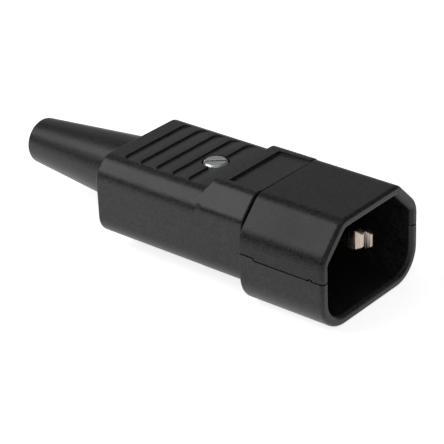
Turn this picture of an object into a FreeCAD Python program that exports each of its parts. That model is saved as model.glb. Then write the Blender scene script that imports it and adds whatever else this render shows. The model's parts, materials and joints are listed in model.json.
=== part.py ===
import FreeCAD, Part
import math
import os

import Sketcher

# Rewirable in-line power plug: a two-half shroud with three flat pins, a rear housing that slips
# over the halves and is held by one screw, and a bend-relief boot.
# Millimetres. +X points out of the mating face, +Z is the earth side.
# The origin is the centre of the rim, in the plane where the two shroud halves meet.

doc = FreeCAD.newDocument("Plug")

DIMENSIONS = [
    # Mating cavity
    ("cavity_width", 24.5),
    ("cavity_top", 7.95),
    ("cavity_bottom", 8.55),
    ("cavity_chamfer", 4.9),
    ("cavity_edge_radius", 0.6),
    ("cavity_corner_radius", 4.4),
    ("cavity_depth", 16.9),
    ("floor_thickness", 3.4),
    # Shroud
    ("shroud_wall", 1.95),
    ("shroud_chamfer", 5.75),
    ("shroud_edge_radius", 3.0),
    ("shroud_side_radius", 4.8),
    ("seam_behind_floor", 1.4),
    ("seam_chamfer", 0.2),
    ("rim_outer_radius", 0.6),
    ("mouth_chamfer", 0.55),
    ("split_gap", 0.24),
    ("split_step_from_rim", 15.1),
    ("split_step_height", 0.5),
    ("split_key_from_rim", 2.5),
    ("split_key_length", 0.6),
    ("split_key_height", 0.3),
    ("neck_length", 8.2),
    ("neck_wall", 1.5),
    ("tray_corner_radius", 0.5),
    ("tray_wall_drop", 1.5),
    # Rear housing
    ("seam_gap", 0.3),
    ("housing_length", 34.75),
    ("housing_wall", 1.6),
    ("rear_wall", 2.0),
    ("rear_edge_chamfer", 0.3),
    ("grip_side_inset", 1.4),
    ("grip_top_inset", 1.77),
    ("grip_bottom_inset", 2.9),
    ("grip_chamfer", 2.9),
    ("grip_edge_radius", 3.3),
    ("grip_corner_radius", 4.0),
    ("collar_length", 9.5),
    ("collar_ramp", 1.45),
    ("collar_rise", 1.71),
    ("collar_lip", 0.05),
    ("collar_chamfer", 4.1),
    ("collar_edge_radius", 2.4),
    ("panel_side_margin", 1.5),
    ("panel_length", 7.1),
    ("panel_rear_depth", 0.5),
    ("panel_front_depth", 0.2),
    ("rib_count", 5),
    ("rib_rear_margin", 3.6),
    ("rib_front_margin", 1.0),
    ("rib_side_margin", 1.0),
    ("rib_depth", 0.37),
    ("rib_land", 1.25),
    ("rib_corner_radius", 1.2),
    # Cover screw and its nut
    ("cover_screw_from_collar", 5.3),
    ("counterbore_diameter", 5.2),
    ("counterbore_depth", 1.4),
    ("screw_seat", 1.3),
    ("cover_boss_diameter", 7.8),
    ("cover_screw_head", 4.7),
    ("cover_screw_head_height", 1.45),
    ("cover_screw_crown", 0.4),
    ("cover_screw_diameter", 2.5),
    ("cover_screw_length", 7.0),
    ("cover_slot_width", 0.7),
    ("cover_slot_depth", 0.65),
    ("cover_slot_angle", 40.0),
    ("nut_width", 5.0),
    ("nut_thickness", 1.8),
    ("nut_ledge", 1.2),
    ("post_width", 7.4),
    # Pins
    ("pin_spacing", 14.0),
    ("pin_thickness", 2.0),
    ("pin_height", 4.0),
    ("pin_offset", 2.0),
    ("power_pin_recess", 4.8),
    ("earth_pin_recess", 1.8),
    ("pin_taper_length", 1.2),
    ("pin_taper", 0.65),
    ("terminal_length", 7.0),
    ("terminal_half_width", 2.6),
    ("terminal_height", 5.8),
    ("terminal_side_gap", 0.55),
    ("terminal_screw_headroom", 0.35),
    ("wire_hole_diameter", 2.8),
    ("wire_hole_depth", 5.6),
    ("wire_hole_below_top", 3.4),
    ("terminal_screw_diameter", 2.5),
    ("terminal_screw_head", 3.8),
    ("terminal_screw_head_height", 1.4),
    ("terminal_screw_stand", 0.4),
    ("terminal_slot_width", 0.7),
    ("terminal_slot_depth", 0.6),
    # Cord clamp
    ("clamp_from_rear", 8.9),
    ("clamp_length", 4.4),
    ("clamp_side_gap", 1.65),
    ("clamp_seat_height", 0.8),
    ("clamp_thickness", 2.0),
    ("clamp_arch_wall", 1.6),
    ("clamp_screw_from_end", 2.2),
    ("clamp_screw_diameter", 2.5),
    ("clamp_screw_head", 4.4),
    ("clamp_screw_head_height", 1.4),
    ("clamp_screw_length", 5.0),
    # Boot
    ("boot_axis_height", 0.17),
    ("boot_base_radius", 7.0),
    ("boot_end_radius", 4.5),
    ("boot_length", 26.4),
    ("boot_end_chamfer", 0.55),
    ("boot_flange_gap", 0.17),
    ("boot_lip", 0.9),
    ("boot_flange", 1.4),
    ("cord_radius", 3.6),
    # Fits
    ("fit_clearance", 0.1),
    ("thread_clearance", 0.02),
]

sheet = doc.addObject("Spreadsheet::Sheet", "Sizes")
for row, (alias, number) in enumerate(DIMENSIONS, start=1):
    sheet.set(f"A{row}", alias)
    sheet.set(f"B{row}", str(number))
    sheet.setAlias(f"B{row}", alias)
doc.recompute()

# A corner cut at 45 degrees loses this share of the wall when its outline moves inwards.
CHAMFER_LOSS = 2 - math.sqrt(2)


class Size:
    """A length together with the sheet expression that gives it."""

    def __init__(self, value, text):
        self.value = value
        self.text = text

    def __add__(self, other):
        other = as_size(other)
        return Size(self.value + other.value, f"({self.text} + {other.text})")

    def __sub__(self, other):
        other = as_size(other)
        return Size(self.value - other.value, f"({self.text} - {other.text})")

    def __mul__(self, factor):
        return Size(self.value * factor, f"({self.text} * {factor:.9f})")

    def __truediv__(self, divisor):
        return self * (1 / divisor)

    def __neg__(self):
        return self * -1

    __radd__ = __add__


def smaller(one, other):
    return Size(min(one.value, other.value), f"min({one.text}; {other.text})")


def as_size(number):
    if isinstance(number, Size):
        return number
    return Size(float(number), f"{float(number):.9f}")


class SheetSizes:
    """Gives each sheet value by its alias."""

    def __getattr__(self, alias):
        return Size(float(getattr(sheet, alias)), f"Sizes.{alias}")


S = SheetSizes()


# Modelling helpers

def new_body(label):
    body = doc.addObject("PartDesign::Body", label)
    body.Label = label
    return body


def origin_feature(body, role):
    return next(item for item in body.Origin.OriginFeatures if item.Role == role)


def bind(feature, **lengths):
    for name, length in lengths.items():
        feature.setExpression(name, as_size(length).text)


def new_sketch(body, name, role, offset=0, rise=0):
    """A sketch on one of the body's planes, moved along its normal and up its own Y."""
    sketch = body.newObject("Sketcher::SketchObject", name)
    sketch.AttachmentSupport = [(origin_feature(body, role), "")]
    sketch.MapMode = "FlatFace"
    sketch.setExpression("AttachmentOffset.Base.z", as_size(offset).text)
    sketch.setExpression("AttachmentOffset.Base.y", as_size(rise).text)
    return sketch


def fix_point(sketch, geometry, end, point):
    for kind, coordinate in zip(("DistanceX", "DistanceY"), point):
        length = as_size(coordinate)
        index = sketch.addConstraint(Sketcher.Constraint(kind, geometry, end, length.value))
        sketch.setExpression(f"Constraints[{index}]", length.text)


def flat(point):
    return FreeCAD.Vector(as_size(point[0]).value, as_size(point[1]).value, 0)


def along(point, toward, distance):
    """The point that lies a distance from one corner towards another, on a line at 0, 45 or 90 degrees."""
    step = flat(toward) - flat(point)
    step.normalize()
    return (as_size(point[0]) + distance * step.x, as_size(point[1]) + distance * step.y)


def draw_outline(sketch, corners):
    """Closed outline of straight edges; a corner (x, y, radius) is rounded with an arc."""
    count = len(corners)
    starts, ends = [], []
    for i, corner in enumerate(corners):
        before, after = corners[i - 1], corners[(i + 1) % count]
        if len(corner) == 2:
            starts.append(corner)
            ends.append(corner)
            continue
        to_before = flat(before) - flat(corner)
        to_after = flat(after) - flat(corner)
        reach = corner[2] * (1 / math.tan(to_before.getAngle(to_after) / 2))
        starts.append(along(corner, before, reach))
        ends.append(along(corner, after, reach))
    lines = []
    for i in range(count):
        j = (i + 1) % count
        line = sketch.addGeometry(Part.LineSegment(flat(ends[i]), flat(starts[j])))
        lines.append(line)
        fix_point(sketch, line, 2, starts[j])
        if len(corners[i]) == 3:
            fix_point(sketch, line, 1, ends[i])
    for i, corner in enumerate(corners):
        before, after = lines[i - 1], lines[i]
        if len(corner) == 2:
            sketch.addConstraint(Sketcher.Constraint("Coincident", before, 2, after, 1))
            continue
        draw_corner_arc(sketch, corner, flat(starts[i]), flat(ends[i]), before, after)


def draw_corner_arc(sketch, corner, start, end, before, after):
    radius = corner[2]
    middle = (start + end) * 0.5
    half_chord = (end - start).Length / 2
    inward = middle - flat(corner)
    inward.normalize()
    center = middle + inward * math.sqrt(radius.value ** 2 - half_chord ** 2)
    crown = center - inward * radius.value
    arc = sketch.addGeometry(Part.Arc(start, crown, end))
    first = sketch.getPoint(arc, 1)
    same_way = (first - start).Length < (first - end).Length
    start_end, far_end = (1, 2) if same_way else (2, 1)
    sketch.addConstraint(Sketcher.Constraint("Coincident", before, 2, arc, start_end))
    sketch.addConstraint(Sketcher.Constraint("Coincident", arc, far_end, after, 1))
    index = sketch.addConstraint(Sketcher.Constraint("Radius", arc, radius.value))
    sketch.setExpression(f"Constraints[{index}]", radius.text)


def draw_box(sketch, low, high):
    draw_outline(sketch, [low, (high[0], low[1]), high, (low[0], high[1])])


def draw_circle(sketch, center, radius):
    radius = as_size(radius)
    circle = sketch.addGeometry(Part.Circle(flat(center), FreeCAD.Vector(0, 0, 1), radius.value))
    fix_point(sketch, circle, 3, center)
    index = sketch.addConstraint(Sketcher.Constraint("Radius", circle, radius.value))
    sketch.setExpression(f"Constraints[{index}]", radius.text)


def pad(body, sketch, length, reverse=False, both_ways=False):
    feature = body.newObject("PartDesign::Pad", sketch.Name + "_pad")
    feature.Profile = sketch
    bind(feature, Length=length)
    feature.Reversed = reverse
    if both_ways:
        feature.SideType = "Symmetric"
    return feature


def pocket(body, sketch, length, reverse=False, both_ways=False):
    """A cut that has to take material away."""
    doc.recompute()
    before = body.Shape.Volume
    feature = body.newObject("PartDesign::Pocket", sketch.Name + "_cut")
    feature.Profile = sketch
    bind(feature, Length=length)
    feature.Reversed = reverse
    if both_ways:
        feature.SideType = "Symmetric"
    doc.recompute()
    if body.Shape.Volume >= before:
        raise RuntimeError(f"{feature.Name} cuts nothing")
    return feature


def dress_edges(body, kind, name, chosen):
    """A fillet or chamfer on the edges of the body's last feature for which the test is true."""
    doc.recompute()
    base = body.Tip
    names = [f"Edge{i}" for i, edge in enumerate(base.Shape.Edges, start=1) if chosen(edge)]
    if not names:
        raise RuntimeError(f"{name} finds no edge")
    feature = body.newObject(kind, name)
    feature.Base = (base, names)
    return feature


def round_edges(body, name, radius, chosen):
    bind(dress_edges(body, "PartDesign::Fillet", name, chosen), Radius=radius)


def chamfer_edges(body, name, size, chosen):
    bind(dress_edges(body, "PartDesign::Chamfer", name, chosen), Size=size)


def in_plane_x(edge, x):
    """True for an edge that lies in the plane at x."""
    box = edge.BoundBox
    return abs(box.XMin - x.value) < NEAR and abs(box.XMax - x.value) < NEAR


NEAR = 1e-4
# Cutting sketches reach this far past the material that they open.
OVERCUT = 1.0

# Places along the plug, from the rim backwards
FLOOR_FRONT = -S.cavity_depth
SEAM = FLOOR_FRONT - S.seam_behind_floor
FLOOR_BACK = FLOOR_FRONT - S.floor_thickness
NECK_REAR = SEAM - S.neck_length
HOUSING_FRONT = SEAM - S.seam_gap
HOUSING_REAR = HOUSING_FRONT - S.housing_length
COLLAR_REAR = HOUSING_FRONT - S.collar_length
RAMP_END = COLLAR_REAR - S.collar_ramp
WALL_INSIDE = HOUSING_REAR + S.rear_wall
FLANGE_REAR = WALL_INSIDE + S.fit_clearance
FLANGE_FRONT = FLANGE_REAR + S.boot_flange
TRAY_REAR = FLANGE_FRONT + S.fit_clearance * 3
COVER_SCREW_X = RAMP_END - S.cover_screw_from_collar
CLAMP_X = HOUSING_REAR + S.clamp_from_rear
TERMINAL_FRONT = FLOOR_BACK - S.fit_clearance
TERMINAL_REAR = TERMINAL_FRONT - S.terminal_length
TERMINAL_MIDDLE = (TERMINAL_FRONT + TERMINAL_REAR) / 2

# Cross sections, as half width, top, bottom, chamfer leg
CAVITY_HALF = S.cavity_width / 2
SHROUD_HALF = CAVITY_HALF + S.shroud_wall
SHROUD_TOP = S.cavity_top + S.shroud_wall
SHROUD_BOTTOM = -(S.cavity_bottom + S.shroud_wall)
GRIP_HALF = SHROUD_HALF - S.grip_side_inset
GRIP_TOP = SHROUD_TOP - S.grip_top_inset
GRIP_BOTTOM = SHROUD_BOTTOM + S.grip_bottom_inset
COLLAR_HALF = GRIP_HALF + S.collar_lip
COLLAR_TOP = GRIP_TOP + S.collar_rise
INSERT_INSET = S.housing_wall + S.fit_clearance
TRAY_INSET = INSERT_INSET + S.neck_wall
TRAY_HALF = GRIP_HALF - TRAY_INSET
TRAY_FLOOR = GRIP_BOTTOM + TRAY_INSET
NECK_ROOF = COLLAR_TOP - TRAY_INSET

# Finger ribs share the grip's length between the rear margin and the collar
RIB_PITCH = (RAMP_END - HOUSING_REAR - S.rib_rear_margin - S.rib_front_margin) / S.rib_count.value
RIB_HALF = GRIP_HALF - S.grip_chamfer - S.rib_side_margin

# Heights in the screw stack, from the counterbore down
SCREW_SEAT_Z = GRIP_TOP - S.counterbore_depth
BOSS_BOTTOM = SCREW_SEAT_Z - S.screw_seat
POST_TOP = BOSS_BOTTOM - S.fit_clearance
NUT_TOP = POST_TOP - S.nut_ledge
NUT_BOTTOM = NUT_TOP - S.nut_thickness

# Pins: middle height of the blades, top and bottom of their terminals
EARTH_Z = S.pin_offset
POWER_Z = -S.pin_offset
POWER_Y = S.pin_spacing / 2
POWER_TERMINAL_TOP = TRAY_FLOOR + S.terminal_height
EARTH_SCREW_TOP = NECK_ROOF - S.terminal_screw_headroom
EARTH_TERMINAL_TOP = EARTH_SCREW_TOP - S.terminal_screw_head_height - S.terminal_screw_stand
EARTH_TERMINAL_BOTTOM = EARTH_TERMINAL_TOP - S.terminal_height
POWER_TERMINAL_INNER = POWER_Y - S.terminal_half_width
POWER_TERMINAL_OUTER = TRAY_HALF - S.terminal_side_gap
POWER_TERMINAL_Y = (POWER_TERMINAL_INNER + POWER_TERMINAL_OUTER) / 2

# Cord clamp and the boot's snap-in end
CLAMP_HALF = GRIP_HALF - INSERT_INSET - S.clamp_side_gap
CLAMP_SCREW_Y = CLAMP_HALF - S.clamp_screw_from_end
BOOT_ROOM = smaller(GRIP_TOP - S.housing_wall - S.boot_axis_height,
                    S.boot_axis_height - GRIP_BOTTOM - S.housing_wall)
BOOT_FLANGE_RADIUS = BOOT_ROOM - S.boot_flange_gap
BOOT_NECK_RADIUS = BOOT_FLANGE_RADIUS - S.boot_lip


def plug_section(half, top, bottom, chamfer, edge_radius=None, corner_radius=None, side_radius=None):
    """Outline with two chamfered top corners and two round bottom ones, in Y and Z."""
    edge = (edge_radius,) if edge_radius else ()
    side = (side_radius,) if side_radius else edge
    corner = (corner_radius,) if corner_radius else ()
    return [
        (half - chamfer, top, *edge),
        (half, top - chamfer, *side),
        (half, bottom, *corner),
        (-half, bottom, *corner),
        (-half, top - chamfer, *side),
        (chamfer - half, top, *edge),
    ]


def cavity_section():
    return plug_section(CAVITY_HALF, S.cavity_top, -S.cavity_bottom, S.cavity_chamfer,
                        S.cavity_edge_radius, S.cavity_corner_radius)


def shroud_section():
    return plug_section(SHROUD_HALF, SHROUD_TOP, SHROUD_BOTTOM, S.shroud_chamfer,
                        S.shroud_edge_radius, S.cavity_corner_radius + S.shroud_wall,
                        S.shroud_side_radius)


def grip_section():
    return plug_section(GRIP_HALF, GRIP_TOP, GRIP_BOTTOM, S.grip_chamfer,
                        S.grip_edge_radius, S.grip_corner_radius)


def collar_section():
    return plug_section(COLLAR_HALF, COLLAR_TOP, GRIP_BOTTOM, S.collar_chamfer,
                        S.collar_edge_radius, S.grip_corner_radius)


def inside_grip(inset):
    """The grip's outline moved inwards."""
    return plug_section(GRIP_HALF - inset, GRIP_TOP - inset, GRIP_BOTTOM + inset,
                        S.grip_chamfer - inset * CHAMFER_LOSS,
                        corner_radius=S.grip_corner_radius - inset)


def inside_collar(inset, corner_radius=None):
    """The collar's outline moved inwards."""
    return plug_section(COLLAR_HALF - inset, COLLAR_TOP - inset, GRIP_BOTTOM + inset,
                        S.collar_chamfer - inset * CHAMFER_LOSS,
                        corner_radius=corner_radius or S.grip_corner_radius - inset)


# Shroud halves

def shroud_block(body):
    """The whole shroud with its cavity, floor and neck, before it is split into halves."""
    outer = new_sketch(body, body.Label + "_outer", "YZ_Plane", SEAM)
    draw_outline(outer, shroud_section())
    pad(body, outer, -SEAM)
    round_edges(body, body.Label + "_rim", S.rim_outer_radius, lambda edge: in_plane_x(edge, as_size(0)))
    chamfer_edges(body, body.Label + "_shoulder", S.seam_chamfer, lambda edge: in_plane_x(edge, SEAM))
    neck = new_sketch(body, body.Label + "_neck", "YZ_Plane", NECK_REAR)
    draw_outline(neck, inside_collar(INSERT_INSET))
    pad(body, neck, S.neck_length + OVERCUT)
    cavity = new_sketch(body, body.Label + "_cavity", "YZ_Plane")
    draw_outline(cavity, cavity_section())
    pocket(body, cavity, S.cavity_depth)
    chamfer_edges(body, body.Label + "_mouth", S.mouth_chamfer, is_mouth_edge)
    inside = new_sketch(body, body.Label + "_inside", "YZ_Plane", NECK_REAR)
    draw_outline(inside, inside_collar(TRAY_INSET, S.tray_corner_radius))
    pocket(body, inside, FLOOR_BACK - NECK_REAR, reverse=True)


def is_mouth_edge(edge):
    """True for the rim's edges that bound the cavity, and not for those of its outer rounding."""
    box = edge.BoundBox
    wide = max(abs(box.YMin), abs(box.YMax)) < CAVITY_HALF.value + NEAR
    high = box.ZMax < S.cavity_top.value + NEAR
    low = box.ZMin > -S.cavity_bottom.value - NEAR
    return in_plane_x(edge, as_size(0)) and wide and high and low


def split_line(side):
    """The step line between the halves in X and Z; side is -1 for the lower half, 1 for the upper."""
    play = S.split_gap / 2 * side
    key_front = -S.split_key_from_rim
    key_rear = key_front - S.split_key_length
    step = -S.split_step_from_rim
    front = as_size(OVERCUT)
    rear = NECK_REAR - OVERCUT
    return [
        (front, play),
        (key_front + play, play),
        (key_front + play, S.split_key_height + play),
        (key_rear - play, S.split_key_height + play),
        (key_rear - play, play),
        (step + play, play),
        (step + play, S.split_step_height + play),
        (rear, S.split_step_height + play),
    ]


def keep_half(body, side):
    """Takes away what belongs to the other half."""
    outline = split_line(side)
    beyond = SHROUD_HALF * (-2 * side)
    outline += [(outline[-1][0], beyond), (outline[0][0], beyond)]
    other = new_sketch(body, body.Label + "_split", "XZ_Plane")
    draw_outline(other, outline)
    pocket(body, other, SHROUD_HALF * 4, both_ways=True)


def cut_pin_slots(body):
    """Slots in the cavity floor for the three blades."""
    slots = new_sketch(body, body.Label + "_pin_slots", "YZ_Plane", FLOOR_FRONT + OVERCUT)
    half_y = S.pin_thickness / 2 + S.fit_clearance
    half_z = S.pin_height / 2 + S.fit_clearance
    for y, z in ((as_size(0), EARTH_Z), (POWER_Y, POWER_Z), (-POWER_Y, POWER_Z)):
        draw_box(slots, (y - half_y, z - half_z), (y + half_y, z + half_z))
    pocket(body, slots, S.floor_thickness + 2 * OVERCUT)


def upper_shroud():
    body = new_body("upper_shroud")
    shroud_block(body)
    keep_half(body, 1)
    cut_pin_slots(body)
    return body


def lower_shroud():
    body = new_body("lower_shroud")
    shroud_block(body)
    keep_half(body, -1)
    add_tray(body)
    cut_pin_slots(body)
    add_terminal_pedestal(body)
    add_cover_post(body)
    add_cord_saddle(body)
    return body


def add_tray(body):
    """Open trough behind the neck, with low walls."""
    outer = new_sketch(body, "tray", "YZ_Plane", TRAY_REAR)
    draw_outline(outer, trough(INSERT_INSET, S.grip_corner_radius - INSERT_INSET))
    pad(body, outer, NECK_REAR - TRAY_REAR + OVERCUT)
    inner = new_sketch(body, "tray_inside", "YZ_Plane", TRAY_REAR)
    draw_outline(inner, trough(TRAY_INSET, S.tray_corner_radius, rise=OVERCUT))
    pocket(body, inner, FLOOR_BACK - TRAY_REAR, reverse=True)


def trough(inset, corner, rise=0):
    """Lower part of the grip's inside, up to the top of the tray's walls."""
    half = GRIP_HALF - inset
    top = as_size(rise) - S.tray_wall_drop
    bottom = GRIP_BOTTOM + inset
    return [(half, top), (half, bottom, corner), (-half, bottom, corner), (-half, top)]


def add_terminal_pedestal(body):
    """Block under the earth terminal."""
    sketch = new_sketch(body, "pedestal", "XY_Plane", TRAY_FLOOR - S.neck_wall / 2)
    half = S.terminal_half_width
    draw_box(sketch, (TERMINAL_REAR, -half), (TERMINAL_FRONT, half))
    pad(body, sketch, EARTH_TERMINAL_BOTTOM - TRAY_FLOOR + S.neck_wall / 2)


def add_cover_post(body):
    """Post for the cover screw, with a slot across it for the nut."""
    post = new_sketch(body, "post", "XY_Plane", TRAY_FLOOR - S.neck_wall / 2)
    half = S.post_width / 2
    draw_box(post, (COVER_SCREW_X - half, -half), (COVER_SCREW_X + half, half))
    pad(body, post, POST_TOP - TRAY_FLOOR + S.neck_wall / 2)
    slot = new_sketch(body, "nut_slot", "XZ_Plane")
    reach = S.nut_width / 2 + S.fit_clearance
    draw_box(slot, (COVER_SCREW_X - reach, NUT_BOTTOM - S.fit_clearance),
             (COVER_SCREW_X + reach, NUT_TOP))
    pocket(body, slot, S.post_width + OVERCUT, both_ways=True)
    hole = new_sketch(body, "post_hole", "XY_Plane", POST_TOP)
    draw_circle(hole, (COVER_SCREW_X, as_size(0)), S.cover_screw_diameter / 2 + S.fit_clearance)
    pocket(body, hole, POST_TOP - SCREW_SEAT_Z + S.cover_screw_length + S.fit_clearance)


def add_cord_saddle(body):
    """Saddle for the cord, with holes for the clamp's screws."""
    saddle = new_sketch(body, "saddle", "XY_Plane", TRAY_FLOOR - S.neck_wall / 2)
    half_x = S.clamp_length / 2
    draw_box(saddle, (CLAMP_X - half_x, -CLAMP_HALF), (CLAMP_X + half_x, CLAMP_HALF))
    pad(body, saddle, S.clamp_seat_height - TRAY_FLOOR + S.neck_wall / 2)
    groove = new_sketch(body, "saddle_groove", "YZ_Plane", CLAMP_X)
    draw_circle(groove, (as_size(0), S.boot_axis_height), S.cord_radius)
    pocket(body, groove, S.clamp_length + OVERCUT, both_ways=True)
    holes = new_sketch(body, "saddle_holes", "XY_Plane", S.clamp_seat_height)
    for side in (-1, 1):
        draw_circle(holes, (CLAMP_X, CLAMP_SCREW_Y * side),
                    S.clamp_screw_diameter / 2 + S.thread_clearance)
    pocket(body, holes, S.clamp_screw_length - S.clamp_thickness + S.fit_clearance)


# Rear housing

def rear_housing():
    body = new_body("rear_housing")
    add_housing_outside(body)
    cut_housing_inside(body)
    cut_panel(body)
    cut_ribs(body)
    add_screw_seat(body)
    return body


def add_housing_outside(body):
    grip = new_sketch(body, "grip", "YZ_Plane", HOUSING_REAR)
    draw_outline(grip, grip_section())
    pad(body, grip, RAMP_END - HOUSING_REAR)
    chamfer_edges(body, "rear_edge", S.rear_edge_chamfer, lambda edge: in_plane_x(edge, HOUSING_REAR))
    ramp_low = new_sketch(body, "ramp_low", "YZ_Plane", RAMP_END)
    draw_outline(ramp_low, grip_section())
    ramp_high = new_sketch(body, "ramp_high", "YZ_Plane", COLLAR_REAR)
    draw_outline(ramp_high, collar_section())
    ramp = body.newObject("PartDesign::AdditiveLoft", "collar_ramp")
    ramp.Profile = ramp_low
    ramp.Sections = [ramp_high]
    ramp.Ruled = True
    collar = new_sketch(body, "collar", "YZ_Plane", COLLAR_REAR)
    draw_outline(collar, collar_section())
    pad(body, collar, S.collar_length)
    chamfer_edges(body, "seam_edge", S.seam_chamfer, lambda edge: in_plane_x(edge, HOUSING_FRONT))


def cut_housing_inside(body):
    inside = new_sketch(body, "housing_inside", "YZ_Plane", HOUSING_FRONT)
    draw_outline(inside, inside_grip(S.housing_wall))
    pocket(body, inside, HOUSING_FRONT - WALL_INSIDE)
    mouth = new_sketch(body, "collar_inside", "YZ_Plane", HOUSING_FRONT)
    draw_outline(mouth, inside_collar(S.housing_wall))
    pocket(body, mouth, HOUSING_FRONT - NECK_REAR + S.fit_clearance)
    hole = new_sketch(body, "boot_hole", "YZ_Plane", WALL_INSIDE)
    draw_circle(hole, (as_size(0), S.boot_axis_height), BOOT_NECK_RADIUS + S.fit_clearance)
    pocket(body, hole, S.rear_wall + OVERCUT)


def cut_panel(body):
    """Recess on the collar that is deepest at its rear and open at the seam."""
    panel = new_sketch(body, "panel", "XZ_Plane")
    rear = HOUSING_FRONT - S.panel_length
    front = HOUSING_FRONT + S.seam_gap
    above = COLLAR_TOP + OVERCUT
    draw_outline(panel, [(rear, above), (rear, COLLAR_TOP - S.panel_rear_depth),
                         (front, COLLAR_TOP - S.panel_front_depth), (front, above)])
    pocket(body, panel, (COLLAR_HALF - S.collar_chamfer - S.panel_side_margin) * 2, both_ways=True)


def cut_ribs(body):
    """Finger ribs: wedge-shaped recesses with a steep rear wall and a ramp to the front."""
    first = HOUSING_REAR + S.rib_rear_margin
    ramp = RIB_PITCH - S.rib_land
    wedge = new_sketch(body, "rib", "XZ_Plane")
    low = GRIP_TOP - S.rib_depth
    above = GRIP_TOP + S.rib_depth
    draw_outline(wedge, [(first, above), (first, low), (first + ramp * 2, above)])
    rib = pocket(body, wedge, RIB_HALF * 2, both_ways=True)
    pattern = body.newObject("PartDesign::LinearPattern", "ribs")
    pattern.Originals = [rib]
    pattern.Direction = (origin_feature(body, "X_Axis"), [""])
    pattern.Mode = "Spacing"
    bind(pattern, Offset=RIB_PITCH, Occurrences=S.rib_count)
    body.Tip = pattern
    round_edges(body, "rib_corners", S.rib_corner_radius, is_rib_corner)


def is_rib_corner(edge):
    """True for the upright edges at the two ends of each rib's steep wall."""
    box = edge.BoundBox
    rib_floor = GRIP_TOP.value - S.rib_depth.value
    upright = box.XLength < NEAR and box.YLength < NEAR and abs(box.ZMin - rib_floor) < NEAR
    at_end = abs(abs(box.YMin) - RIB_HALF.value) < NEAR
    return upright and at_end and box.XMax < RAMP_END.value


def add_screw_seat(body):
    """Boss under the top wall, with the counterbore and hole for the cover screw."""
    centre = (COVER_SCREW_X, as_size(0))
    boss = new_sketch(body, "cover_boss", "XY_Plane", BOSS_BOTTOM)
    draw_circle(boss, centre, S.cover_boss_diameter / 2)
    pad(body, boss, GRIP_TOP - S.housing_wall / 2 - S.rib_depth / 2 - BOSS_BOTTOM)
    bore = new_sketch(body, "counterbore", "XY_Plane", GRIP_TOP + OVERCUT)
    draw_circle(bore, centre, S.counterbore_diameter / 2)
    pocket(body, bore, S.counterbore_depth + OVERCUT)
    hole = new_sketch(body, "cover_hole", "XY_Plane", SCREW_SEAT_Z)
    draw_circle(hole, centre, S.cover_screw_diameter / 2 + S.fit_clearance)
    pocket(body, hole, S.screw_seat + OVERCUT)


# Pins and their terminals

def blade_pin(label, y, z, recess, block_low, block_high, wire_from_rear):
    """Flat blade with a tapered tip and, behind the cavity floor, a terminal block with these corners."""
    body = new_body(label)
    half_y = S.pin_thickness / 2
    half_z = S.pin_height / 2
    tip = -recess
    shoulder = tip - S.pin_taper_length
    blade = new_sketch(body, label + "_blade", "YZ_Plane", TERMINAL_FRONT)
    draw_box(blade, (y - half_y, z - half_z), (y + half_y, z + half_z))
    pad(body, blade, shoulder - TERMINAL_FRONT)
    taper_start = new_sketch(body, label + "_taper_start", "YZ_Plane", shoulder)
    draw_box(taper_start, (y - half_y, z - half_z), (y + half_y, z + half_z))
    taper_end = new_sketch(body, label + "_taper_end", "YZ_Plane", tip)
    end_y = half_y - S.pin_taper
    end_z = half_z - S.pin_taper
    draw_box(taper_end, (y - end_y, z - end_z), (y + end_y, z + end_z))
    taper = body.newObject("PartDesign::AdditiveLoft", label + "_taper")
    taper.Profile = taper_start
    taper.Sections = [taper_end]
    taper.Ruled = True
    block = new_sketch(body, label + "_block", "YZ_Plane", TERMINAL_REAR)
    draw_box(block, block_low, block_high)
    pad(body, block, S.terminal_length)
    block_middle = (block_low[0] + block_high[0]) / 2
    block_top = block_high[1]
    wire_z = block_top - S.wire_hole_below_top
    if wire_from_rear:
        wire = new_sketch(body, label + "_wire", "YZ_Plane", TERMINAL_REAR)
        draw_circle(wire, (block_middle, wire_z), S.wire_hole_diameter / 2)
        pocket(body, wire, S.wire_hole_depth, reverse=True)
    else:
        wire = new_sketch(body, label + "_wire", "XZ_Plane")
        draw_circle(wire, (TERMINAL_MIDDLE, wire_z), S.wire_hole_diameter / 2)
        pocket(body, wire, S.terminal_half_width * 2 + OVERCUT, both_ways=True)
    thread = new_sketch(body, label + "_thread", "XY_Plane", block_top)
    draw_circle(thread, (TERMINAL_MIDDLE, block_middle), S.terminal_screw_diameter / 2 + S.thread_clearance)
    pocket(body, thread, S.wire_hole_below_top)
    return body


# Screws, nut and clamp bar

def slotted_screw(label, place, head, head_height, diameter, length, slot_width, slot_depth):
    """Screw that points down from its head's seat, which is its own origin."""
    body = new_body(label)
    cap = new_sketch(body, label + "_head", "XY_Plane")
    draw_circle(cap, (as_size(0), as_size(0)), head / 2)
    pad(body, cap, head_height)
    shank = new_sketch(body, label + "_shank", "XY_Plane")
    draw_circle(shank, (as_size(0), as_size(0)), diameter / 2)
    pad(body, shank, length, reverse=True)
    slot = new_sketch(body, label + "_slot", "XY_Plane", head_height)
    draw_box(slot, (-head, -slot_width / 2), (head, slot_width / 2))
    pocket(body, slot, slot_depth)
    for axis, distance in zip("xyz", place):
        body.setExpression(f"Placement.Base.{axis}", as_size(distance).text)
    return body


def cover_screw():
    """The screw on top, with a bevelled crown, turned so that its slot crosses the plug."""
    body = slotted_screw("cover_screw", (COVER_SCREW_X, as_size(0), SCREW_SEAT_Z), S.cover_screw_head,
                         S.cover_screw_head_height, S.cover_screw_diameter, S.cover_screw_length,
                         S.cover_slot_width, S.cover_slot_depth)
    crown_top = S.cover_screw_head_height.value
    chamfer_edges(body, "cover_screw_crown", S.cover_screw_crown,
                  lambda edge: edge.BoundBox.ZMin > crown_top - NEAR and edge.Curve.TypeId == "Part::GeomCircle")
    body.setExpression("Placement.Rotation.Angle", S.cover_slot_angle.text)
    return body


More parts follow.
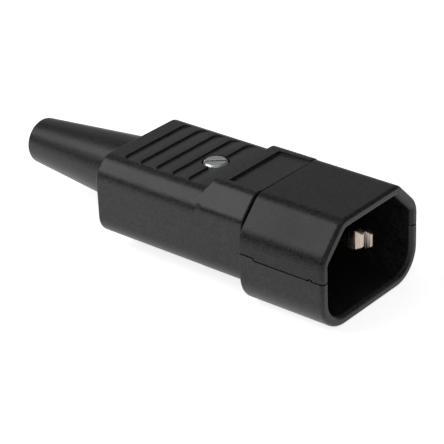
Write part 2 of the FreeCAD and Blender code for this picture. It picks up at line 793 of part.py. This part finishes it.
def terminal_screw(label, y, terminal_top):
    return slotted_screw(label, (TERMINAL_MIDDLE, y, terminal_top + S.terminal_screw_stand),
                         S.terminal_screw_head, S.terminal_screw_head_height, S.terminal_screw_diameter,
                         S.wire_hole_below_top - S.wire_hole_diameter / 2 + S.terminal_screw_stand,
                         S.terminal_slot_width, S.terminal_slot_depth)


def clamp_screw(label, side):
    place = (CLAMP_X, CLAMP_SCREW_Y * side, S.clamp_seat_height + S.clamp_thickness)
    return slotted_screw(label, place, S.clamp_screw_head, S.clamp_screw_head_height, S.clamp_screw_diameter,
                         S.clamp_screw_length, S.terminal_slot_width, S.terminal_slot_depth)


def cover_nut():
    body = new_body("cover_nut")
    half = S.nut_width / 2
    square = new_sketch(body, "nut_square", "XY_Plane", NUT_BOTTOM)
    draw_box(square, (COVER_SCREW_X - half, -half), (COVER_SCREW_X + half, half))
    pad(body, square, S.nut_thickness)
    thread = new_sketch(body, "nut_thread", "XY_Plane", NUT_TOP)
    draw_circle(thread, (COVER_SCREW_X, as_size(0)), S.cover_screw_diameter / 2 + S.thread_clearance)
    pocket(body, thread, S.nut_thickness + OVERCUT)
    return body


def cord_clamp_bar():
    """Bar with an arch over the cord and a flat foot on each side."""
    body = new_body("cord_clamp_bar")
    seat = S.clamp_seat_height
    arch_radius = S.cord_radius + S.clamp_arch_wall
    feet = new_sketch(body, "clamp_feet", "YZ_Plane", CLAMP_X)
    draw_box(feet, (-CLAMP_HALF, seat), (CLAMP_HALF, seat + S.clamp_thickness))
    pad(body, feet, S.clamp_length, both_ways=True)
    arch = new_sketch(body, "clamp_arch", "YZ_Plane", CLAMP_X)
    draw_circle(arch, (as_size(0), S.boot_axis_height), arch_radius)
    pad(body, arch, S.clamp_length, both_ways=True)
    below = new_sketch(body, "clamp_below", "YZ_Plane", CLAMP_X)
    draw_box(below, (-CLAMP_HALF, seat - arch_radius * 2), (CLAMP_HALF, seat))
    pocket(body, below, S.clamp_length + OVERCUT, both_ways=True)
    throat = new_sketch(body, "clamp_throat", "YZ_Plane", CLAMP_X)
    draw_circle(throat, (as_size(0), S.boot_axis_height), S.cord_radius)
    pocket(body, throat, S.clamp_length + OVERCUT, both_ways=True)
    holes = new_sketch(body, "clamp_holes", "XY_Plane", seat + S.clamp_thickness)
    for side in (-1, 1):
        draw_circle(holes, (CLAMP_X, CLAMP_SCREW_Y * side),
                    S.clamp_screw_diameter / 2 + S.fit_clearance)
    pocket(body, holes, S.clamp_thickness + OVERCUT)
    return body


# Boot

def strain_relief_boot():
    """Tapered boot, turned about the cord's axis, with a groove that holds the housing's rear wall."""
    body = new_body("strain_relief_boot")
    base = HOUSING_REAR - S.fit_clearance
    end = base - S.boot_length
    profile = new_sketch(body, "boot_profile", "XZ_Plane", rise=S.boot_axis_height)
    draw_outline(profile, [
        (FLANGE_FRONT, S.cord_radius),
        (end, S.cord_radius),
        (end, S.boot_end_radius),
        (base, S.boot_base_radius),
        (base, BOOT_NECK_RADIUS),
        (FLANGE_REAR, BOOT_NECK_RADIUS),
        (FLANGE_REAR, BOOT_FLANGE_RADIUS),
        (FLANGE_FRONT, BOOT_FLANGE_RADIUS),
    ])
    turned = body.newObject("PartDesign::Revolution", "boot_turned")
    turned.Profile = profile
    turned.ReferenceAxis = (profile, ["H_Axis"])
    turned.Angle = 360
    rim = S.boot_end_radius
    chamfer_edges(body, "boot_end_edge", S.boot_end_chamfer,
                  lambda edge: in_plane_x(edge, end) and edge.BoundBox.YMax > rim.value - NEAR)
    return body


PARTS = [
    upper_shroud(),
    lower_shroud(),
    rear_housing(),
    strain_relief_boot(),
    blade_pin("earth_pin", as_size(0), EARTH_Z, S.earth_pin_recess,
              (-S.terminal_half_width, EARTH_TERMINAL_BOTTOM),
              (S.terminal_half_width, EARTH_TERMINAL_TOP), wire_from_rear=False),
    blade_pin("live_pin", POWER_Y, POWER_Z, S.power_pin_recess,
              (POWER_TERMINAL_INNER, TRAY_FLOOR),
              (POWER_TERMINAL_OUTER, POWER_TERMINAL_TOP), wire_from_rear=True),
    blade_pin("neutral_pin", -POWER_Y, POWER_Z, S.power_pin_recess,
              (-POWER_TERMINAL_OUTER, TRAY_FLOOR),
              (-POWER_TERMINAL_INNER, POWER_TERMINAL_TOP), wire_from_rear=True),
    terminal_screw("earth_terminal_screw", as_size(0), EARTH_TERMINAL_TOP),
    terminal_screw("live_terminal_screw", POWER_TERMINAL_Y, POWER_TERMINAL_TOP),
    terminal_screw("neutral_terminal_screw", -POWER_TERMINAL_Y, POWER_TERMINAL_TOP),
    cover_screw(),
    cover_nut(),
    cord_clamp_bar(),
    clamp_screw("cord_clamp_screw_left", -1),
    clamp_screw("cord_clamp_screw_right", 1),
]

doc.recompute()
for item in doc.Objects:
    if "Invalid" in item.State or "Error" in item.State:
        raise RuntimeError(f"{item.Label} failed: {item.State}")
for part in PARTS:
    if part.Shape.isNull() or not part.Shape.isValid():
        raise RuntimeError(f"{part.Label} has no valid shape")

os.makedirs("parts", exist_ok=True)
for part in PARTS:
    part.Shape.exportStep(f"parts/{part.Label}.step")
    box = part.Shape.BoundBox
    print(f"{part.Label}: {len(part.Shape.Solids)} solid, {part.Shape.Volume:.1f} mm3,"
          f" X {box.XMin:.2f}..{box.XMax:.2f} Y {box.YMin:.2f}..{box.YMax:.2f} Z {box.ZMin:.2f}..{box.ZMax:.2f}")
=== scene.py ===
import json
import math

import bmesh
import bpy
from mathutils import Matrix, Vector


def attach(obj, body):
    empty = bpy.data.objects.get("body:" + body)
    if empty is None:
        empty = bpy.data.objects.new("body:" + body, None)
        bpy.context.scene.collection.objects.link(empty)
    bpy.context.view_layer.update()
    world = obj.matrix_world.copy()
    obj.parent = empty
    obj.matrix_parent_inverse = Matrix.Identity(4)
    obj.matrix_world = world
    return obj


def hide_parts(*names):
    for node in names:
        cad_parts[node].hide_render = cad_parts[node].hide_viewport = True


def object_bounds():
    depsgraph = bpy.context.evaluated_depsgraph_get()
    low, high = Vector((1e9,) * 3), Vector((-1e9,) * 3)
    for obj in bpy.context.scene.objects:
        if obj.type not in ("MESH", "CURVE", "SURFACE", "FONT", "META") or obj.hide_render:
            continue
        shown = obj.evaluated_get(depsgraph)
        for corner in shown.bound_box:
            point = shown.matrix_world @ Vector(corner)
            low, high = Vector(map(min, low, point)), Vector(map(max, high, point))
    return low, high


# Studio picture of a black rewirable in-line power plug.
# Metres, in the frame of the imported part: +X leaves the mating face, +Z is the earth side.

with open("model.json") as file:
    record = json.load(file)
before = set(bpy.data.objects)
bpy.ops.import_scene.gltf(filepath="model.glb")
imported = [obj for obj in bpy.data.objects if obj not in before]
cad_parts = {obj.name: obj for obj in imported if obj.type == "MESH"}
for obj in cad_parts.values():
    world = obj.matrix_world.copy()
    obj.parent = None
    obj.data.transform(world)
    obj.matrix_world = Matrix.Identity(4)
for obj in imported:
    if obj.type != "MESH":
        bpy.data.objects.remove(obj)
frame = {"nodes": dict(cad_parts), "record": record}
cad_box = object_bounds()
nodes = frame["nodes"]

MM = 0.001


# Shader sockets as Python values

class Value:
    """A shader socket that takes part in arithmetic by adding Math nodes."""

    def __init__(self, finish, socket):
        self.finish = finish
        self.socket = socket

    def math(self, operation, *others):
        operands = dict(enumerate((self, *others)))
        return self.finish.node("Math", {"operation": operation}, operands)[0]

    def __add__(self, other):
        return self.math("ADD", other)

    def __sub__(self, other):
        return self.math("SUBTRACT", other)

    def __rsub__(self, other):
        return (self * -1) + other

    def __mul__(self, other):
        return self.math("MULTIPLY", other)

    def swing(self, amount):
        """Spreads a share from 0 to 1 evenly to both sides of zero, over this amount."""
        return (self - 0.5) * amount

    def above(self, edge, width):
        """Goes from 0 to 1 as the value passes the edge."""
        ramp = {"interpolation_type": "SMOOTHSTEP"}
        spread = {"Value": self, "From Min": edge - width, "From Max": edge + width}
        return self.finish.node("MapRange", ramp, spread)["Result"]

    __radd__ = __add__


class NodeOutputs:
    """The outputs of one node, by name or number."""

    def __init__(self, finish, node):
        self.finish = finish
        self.node = node

    def __getitem__(self, key):
        return Value(self.finish, self.node.outputs[key])


class Finish:
    """A material made of procedural nodes around one Principled shader."""

    def __init__(self, name):
        self.material = bpy.data.materials.new(name)
        self.material.use_nodes = True
        self.tree = self.material.node_tree
        self.shader = self.tree.nodes["Principled BSDF"]
        self.place = self.node("TexCoord")["Object"]

    def node(self, kind, settings=None, sockets=None):
        """Adds a shader node, sets its settings, then fills or links its sockets."""
        made = self.tree.nodes.new("ShaderNode" + kind)
        for key, setting in (settings or {}).items():
            setattr(made, key, setting)
        for key, value in (sockets or {}).items():
            self.feed(made.inputs[key], value)
        return NodeOutputs(self, made)

    def feed(self, socket, value):
        """Links a value to a socket, or sets the socket to a number or colour."""
        if isinstance(value, Value):
            self.tree.links.new(value.socket, socket)
        else:
            socket.default_value = value

    def set(self, **sockets):
        """Fills or links sockets of the shader, named with underscores for spaces."""
        for key, value in sockets.items():
            self.feed(self.shader.inputs[key.replace("_", " ")], value)

    def noise(self, size, detail=2.0, roughness=0.5, stretch=(1.0, 1.0, 1.0)):
        """Noise whose patches are about this size, in metres."""
        place = self.node("Mapping", None, {"Vector": self.place, "Scale": stretch})["Vector"]
        sockets = {"Vector": place, "Scale": 1 / size, "Detail": detail, "Roughness": roughness}
        return self.node("TexNoise", None, sockets)["Fac"]

    def mix(self, share, low, high):
        """A colour between two colours."""
        return self.node("Mix", {"data_type": "RGBA"}, {0: share, 6: low, 7: high})[2]

    def bump(self, height, distance, strength=1.0):
        """A normal that follows the height, which is worth this distance in metres."""
        sockets = {"Height": height, "Distance": distance, "Strength": strength}
        return self.node("Bump", None, sockets)["Normal"]

    def edges(self, reach):
        """1 beside an edge of the shape and 0 on its open faces."""
        softened = self.node("Bevel", {"samples": 8}, {"Radius": reach})["Normal"]
        straight = self.node("NewGeometry")["Normal"]
        agreement = self.node("VectorMath", {"operation": "DOT_PRODUCT"}, {0: softened, 1: straight})
        return (1 - agreement["Value"]).above(edge=0.06, width=0.05)


def grey(level):
    return (level, level, level, 1.0)


# Finishes

GRAIN_SIZE = 0.25 * MM
MOTTLE_SIZE = 0.5 * MM
CLOUD_SIZE = 7 * MM
# Reach of the edge mask, and how much lighter the edges are painted: partly wear, partly a painted
# highlight
EDGE_WEAR_AND_HIGHLIGHT_REACH = 0.35 * MM
EDGE_WEAR_AND_HIGHLIGHT_LIGHTER = 2.2
STAIN_SIZE = 0.9 * MM
STAIN_DULLER = 0.6
DRAWN_LINE_DEPTH = 0.010 * MM


def moulded_plastic(name, darkness, roughness, grain_depth, contrast=0.85, gloss=1.5):
    """Black moulded plastic with the satin grain of a spark-eroded mould, rubbed smoother on its edges,
    where its colour is lighter, partly for wear and partly as a painted highlight.
    """
    finish = Finish(name)
    grain = finish.noise(GRAIN_SIZE)
    mottle = finish.noise(MOTTLE_SIZE, detail=3.0, roughness=0.6)
    clouds = finish.noise(CLOUD_SIZE)
    edge_wear_and_highlight = finish.edges(EDGE_WEAR_AND_HIGHLIGHT_REACH)
    speckle = (grain * 0.4 + mottle * 0.6).above(edge=0.5, width=0.12)
    pigment = finish.mix(speckle, grey(darkness * (1 - contrast)), grey(darkness * (1 + contrast)))
    finish.set(
        # Edges are lighter in colour, partly for wear from handling and partly as a painted highlight;
        # their lower roughness is wear.
        Base_Color=finish.mix(edge_wear_and_highlight * 0.45, pigment, grey(darkness * EDGE_WEAR_AND_HIGHLIGHT_LIGHTER)),
        Roughness=roughness + clouds.swing(0.10) + mottle.swing(0.20) - edge_wear_and_highlight * 0.05,
        Normal=finish.bump(grain * 0.45 + mottle * 0.55, grain_depth),
        IOR=gloss,
    )
    return finish.material


def plated_metal(name, colour, roughness, line_width, stroke):
    """Plated metal with fine drawn lines and a faint stain."""
    finish = Finish(name)
    lines = finish.noise(line_width, detail=3.0, stretch=stroke).above(edge=0.5, width=0.15)
    stains = finish.noise(STAIN_SIZE, detail=3.0)
    dull = tuple(channel * STAIN_DULLER for channel in colour)
    finish.set(
        Base_Color=finish.mix(stains * 0.6 + lines * 0.4, (*dull, 1.0), (*colour, 1.0)),
        Metallic=1.0,
        Roughness=roughness + stains.swing(0.15) + lines.swing(0.15),
        Normal=finish.bump(lines, DRAWN_LINE_DEPTH, strength=0.7),
    )
    return finish.material


housing_plastic = moulded_plastic(
    "housing_plastic", darkness=0.017, roughness=0.37, grain_depth=0.020 * MM, gloss=1.44)
# A darker, less reflective copy of the housing plastic for the upper shroud half: painted shade that keeps
# it darker than the lower half.
shaded_upper_plastic = moulded_plastic(
    "shaded_upper_plastic", darkness=0.015, roughness=0.37, grain_depth=0.020 * MM, gloss=1.385)
boot_rubber = moulded_plastic(
    "boot_rubber", darkness=0.015, roughness=0.36, grain_depth=0.012 * MM, contrast=0.6, gloss=1.48)
clamp_plastic = moulded_plastic(
    "clamp_plastic", darkness=0.012, roughness=0.50, grain_depth=0.012 * MM)
pin_nickel = plated_metal(
    "pin_nickel", colour=(0.66, 0.55, 0.47), roughness=0.22, line_width=0.22 * MM, stroke=(1.0, 1.0, 0.06))
screw_zinc = plated_metal(
    "screw_zinc", colour=(0.74, 0.76, 0.77), roughness=0.30, line_width=0.10 * MM, stroke=(1.0, 0.12, 1.0))

FINISHES = {
    "housing": housing_plastic,
    "boot": boot_rubber,
    "clamp": clamp_plastic,
    "pins": pin_nickel,
    "fasteners": screw_zinc,
}
SLOTS = {entry["node"]: entry["material_slot"] for entry in frame["record"]["subparts"]}

for name, node in nodes.items():
    node.data.materials.clear()
    node.data.materials.append(FINISHES[SLOTS[name]])


# Pieces that stand for the nodes that show

# Limits for joining vertices, merging flat faces, softening edges and shading them smooth
WELD = 0.0004 * MM
FLAT = math.radians(0.3)
CRISP = math.radians(28)
SMOOTH = math.radians(50)

# Limits for a vertex that lies on a wall and for a normal that stays in the XZ plane
NEAR = 0.01 * MM
LEVEL = 0.01

# Places on the plug
RIM_REACH = 0.62 * MM
SHROUD_SHOWN = 18.5 * MM
CAVITY_SIDE = 12.25 * MM
SPLIT_REACH = 1.0 * MM
SPLIT_EDGE_REACH = 0.2 * MM
REAR_EDGE_REACH = 0.35 * MM
BLADE_TIP_REACH = 1.3 * MM

# Roundings, and what else is drawn finer than in the solids
MOUTH_ROUND = 0.28 * MM
MOULDED_ROUND = 0.07 * MM
REAR_ROUND = 0.14 * MM
BLADE_ROUND = 0.28 * MM
TERMINAL_ROUND = 0.08 * MM
BOOT_ROUND = 0.3 * MM
SCREW_ROUND = 0.12 * MM
FINE_SEGMENTS = 4
SPLIT_CLOSING = 0.119 * MM
RIM_STRETCH = 1.4


def stand_for(node_name, shape, finish=None):
    """Turns a finished shape into the piece that is shown in the node's place."""
    name = node_name + "_finished"
    mesh = bpy.data.meshes.new(name)
    for face in shape.faces:
        face.smooth = True
    shape.to_mesh(mesh)
    shape.free()
    mesh.set_sharp_from_angle(angle=SMOOTH)
    mesh.materials.append(finish or FINISHES[SLOTS[node_name]])
    piece = bpy.data.objects.new(name, mesh)
    bpy.context.scene.collection.objects.link(piece)
    shading = piece.modifiers.new("even_shading", "WEIGHTED_NORMAL")
    shading.keep_sharp = True
    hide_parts(node_name)
    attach(piece, "root")


def closed_skin(node_name):
    """The node's triangles welded into one skin, with its flat faces whole again."""
    skin = bmesh.new()
    skin.from_mesh(nodes[node_name].data)
    bmesh.ops.remove_doubles(skin, verts=skin.verts, dist=WELD)
    bmesh.ops.dissolve_limit(skin, angle_limit=FLAT, verts=skin.verts, edges=skin.edges)
    return skin


def soften(skin, edge_round, chosen=None, segments=2):
    """Rounds the crisp edges, or the chosen ones among them."""
    skin.normal_update()
    crisp = [edge for edge in skin.edges if edge.is_manifold and edge.calc_face_angle() > CRISP]
    if chosen:
        crisp = [edge for edge in crisp if chosen(edge)]
    bmesh.ops.bevel(skin, geom=crisp, offset=edge_round, offset_type="OFFSET", affect="EDGES",
                    segments=segments, profile=0.5, material=-1, clamp_overlap=False)


def softened_piece(node_name, edge_round):
    skin = closed_skin(node_name)
    soften(skin, edge_round)
    stand_for(node_name, skin)


def faces_out(vert):
    """True where the surface turns away from the plug's axis."""
    return vert.normal.yz.dot(vert.co.yz) > 0


def at_rim(vert):
    """True as far back as the rim's rounding and the mouth's chamfer go."""
    return vert.co.x > -RIM_REACH


def at_mouth(edge):
    """True for the edges of the small chamfer around the mouth of the cavity."""
    in_split = all(abs(vert.co.z) < SPLIT_EDGE_REACH for vert in edge.verts)
    return not in_split and all(at_rim(vert) for vert in edge.verts)


def before_housing(edge):
    """True for the edges in front of the rear housing, which hides the rest."""
    return all(vert.co.x > -SHROUD_SHOWN for vert in edge.verts)


def close_split(skin):
    """Brings the halves together on the cavity side, which leaves the split as a groove."""
    side_wall = [vert for vert in skin.verts if abs(abs(vert.co.y) - CAVITY_SIDE) < NEAR]
    inner = [vert for vert in side_wall if abs(vert.co.z) < SPLIT_REACH]
    shifts = []
    for vert in inner:
        across = [face.normal for face in vert.link_faces if abs(face.normal.y) < LEVEL]
        shifts.append(sum(across, Vector()) * SPLIT_CLOSING)
    for vert, shift in zip(inner, shifts):
        bmesh.ops.translate(skin, verts=[vert], vec=shift)


def shroud_half(node_name, finish):
    """Half of the shroud, with a soft mouth and the rim's outer rounding drawn out to the rear."""
    skin = closed_skin(node_name)
    skin.normal_update()
    close_split(skin)
    outside = [vert for vert in skin.verts if at_rim(vert) and faces_out(vert)]
    bmesh.ops.scale(skin, vec=(RIM_STRETCH, 1, 1), verts=outside)
    soften(skin, MOUTH_ROUND, at_mouth, FINE_SEGMENTS)
    soften(skin, MOULDED_ROUND, lambda edge: before_housing(edge) and not at_mouth(edge))
    stand_for(node_name, skin, finish)


def rear_housing():
    """The housing, whose rear edge is softer than its other edges."""
    skin = closed_skin("rear_housing")
    rear = min(vert.co.x for vert in skin.verts)

    def at_rear(edge):
        return all(vert.co.x < rear + REAR_EDGE_REACH for vert in edge.verts)

    def outside(edge):
        return all(faces_out(vert) for vert in edge.verts)

    soften(skin, REAR_ROUND, lambda edge: outside(edge) and at_rear(edge))
    soften(skin, MOULDED_ROUND, lambda edge: outside(edge) and not at_rear(edge))
    stand_for("rear_housing", skin)


def pin(node_name):
    """A pin, whose blade has rounder edges than its terminal."""
    skin = closed_skin(node_name)
    tip = max(vert.co.x for vert in skin.verts)

    def on_blade(edge):
        """True for the tip's edges and for the long edges that end there."""
        return any(vert.co.x > tip - BLADE_TIP_REACH for vert in edge.verts)

    soften(skin, BLADE_ROUND, on_blade, FINE_SEGMENTS)
    soften(skin, TERMINAL_ROUND, lambda edge: not on_blade(edge))
    stand_for(node_name, skin)


shroud_half("upper_shroud", shaded_upper_plastic)
shroud_half("lower_shroud", housing_plastic)
rear_housing()
for name in ("earth_pin", "live_pin", "neutral_pin"):
    pin(name)
softened_piece("strain_relief_boot", BOOT_ROUND)
softened_piece("cover_screw", SCREW_ROUND)


# Studio

CAMERA_SPOT = Vector((165.163, -232.723, 157.356)) * MM
FOCAL_PIXELS = 1868.86
FRAME_PIXELS = 444
SENSOR_WIDTH = 36
CLOSEST_SEEN = 10 * MM
WORLD_LIGHT = 0.16
FLOOR_SIZE = 20.0
FLOOR_GLOW = 0.80
FLOOR_MIRRORED = 0.86


def look_axes(azimuth, elevation, roll):
    """Right, up and back axes of a camera; azimuth 0 looks along +Y."""
    a, e = math.radians(azimuth), math.radians(elevation)
    back = Vector((math.sin(a) * math.cos(e), -math.cos(a) * math.cos(e), math.sin(e)))
    right = Vector((math.cos(a), math.sin(a), 0))
    turn = Matrix.Rotation(math.radians(roll), 3, back)
    return turn @ right, turn @ back.cross(right), back


def place(thing, spot, right, up, back):
    """Puts a camera or lamp into the scene, turned to these axes."""
    axes = Matrix((right, up, back)).transposed()
    thing.matrix_world = Matrix.Translation(spot) @ axes.to_4x4()
    bpy.context.scene.collection.objects.link(thing)


camera = bpy.data.objects.new("camera", bpy.data.cameras.new("camera"))
camera.data.sensor_width = SENSOR_WIDTH
camera.data.lens = FOCAL_PIXELS / FRAME_PIXELS * SENSOR_WIDTH
camera.data.clip_start = CLOSEST_SEEN
place(camera, CAMERA_SPOT, *look_axes(azimuth=40.547, elevation=27.822, roll=-2.306))
bpy.context.scene.camera = camera


def softbox(name, azimuth, elevation, distance, width, height, level):
    """A large lamp that faces the plug's middle, with this brightness over its face."""
    lamp = bpy.data.lights.new(name, "AREA")
    lamp.shape = "RECTANGLE"
    lamp.size = width
    lamp.size_y = height
    lamp.energy = level * math.pi * width * height
    right, up, back = look_axes(azimuth, elevation, roll=0)
    middle = (cad_box[0] + cad_box[1]) / 2
    place(bpy.data.objects.new(name, lamp), middle + back * distance, right, up, back)


softbox("key_softbox", azimuth=-50, elevation=43, distance=0.7, width=0.5, height=0.42, level=2.8)
softbox("back_softbox", azimuth=-139, elevation=24, distance=0.7, width=0.6, height=0.45, level=0.21)
softbox("front_softbox", azimuth=45, elevation=25, distance=0.9, width=0.8, height=0.5, level=0.55)
softbox("top_softbox", azimuth=0, elevation=88, distance=0.8, width=0.6, height=0.5, level=0.6)

world = bpy.data.worlds.new("studio")
bpy.context.scene.world = world
world.use_nodes = True
background = world.node_tree.nodes["Background"]
background.inputs["Color"].default_value = grey(1.0)
background.inputs["Strength"].default_value = WORLD_LIGHT


def floor_finish():
    """White floor that glows only where it is seen or mirrored, so that it lights nothing."""
    finish = Finish("floor_white")
    rays = finish.node("LightPath")
    mirrored = rays["Is Glossy Ray"] + rays["Is Transmission Ray"]
    seen = rays["Is Camera Ray"] + mirrored * FLOOR_MIRRORED
    finish.set(
        Base_Color=grey(0.85),
        Roughness=0.9,
        Emission_Color=finish.mix(seen.math("MINIMUM", 1.0), grey(0.0), grey(1.0)),
        Emission_Strength=FLOOR_GLOW,
    )
    return finish.material


floor_mesh = bmesh.new()
bmesh.ops.create_grid(floor_mesh, x_segments=1, y_segments=1, size=FLOOR_SIZE)
bmesh.ops.translate(floor_mesh, verts=floor_mesh.verts, vec=(0, 0, cad_box[0].z))
floor_data = bpy.data.meshes.new("floor")
floor_mesh.to_mesh(floor_data)
floor_mesh.free()
floor_data.materials.append(floor_finish())
floor = bpy.data.objects.new("floor", floor_data)
bpy.context.scene.collection.objects.link(floor)

bpy.context.scene.view_settings.view_transform = "Standard"
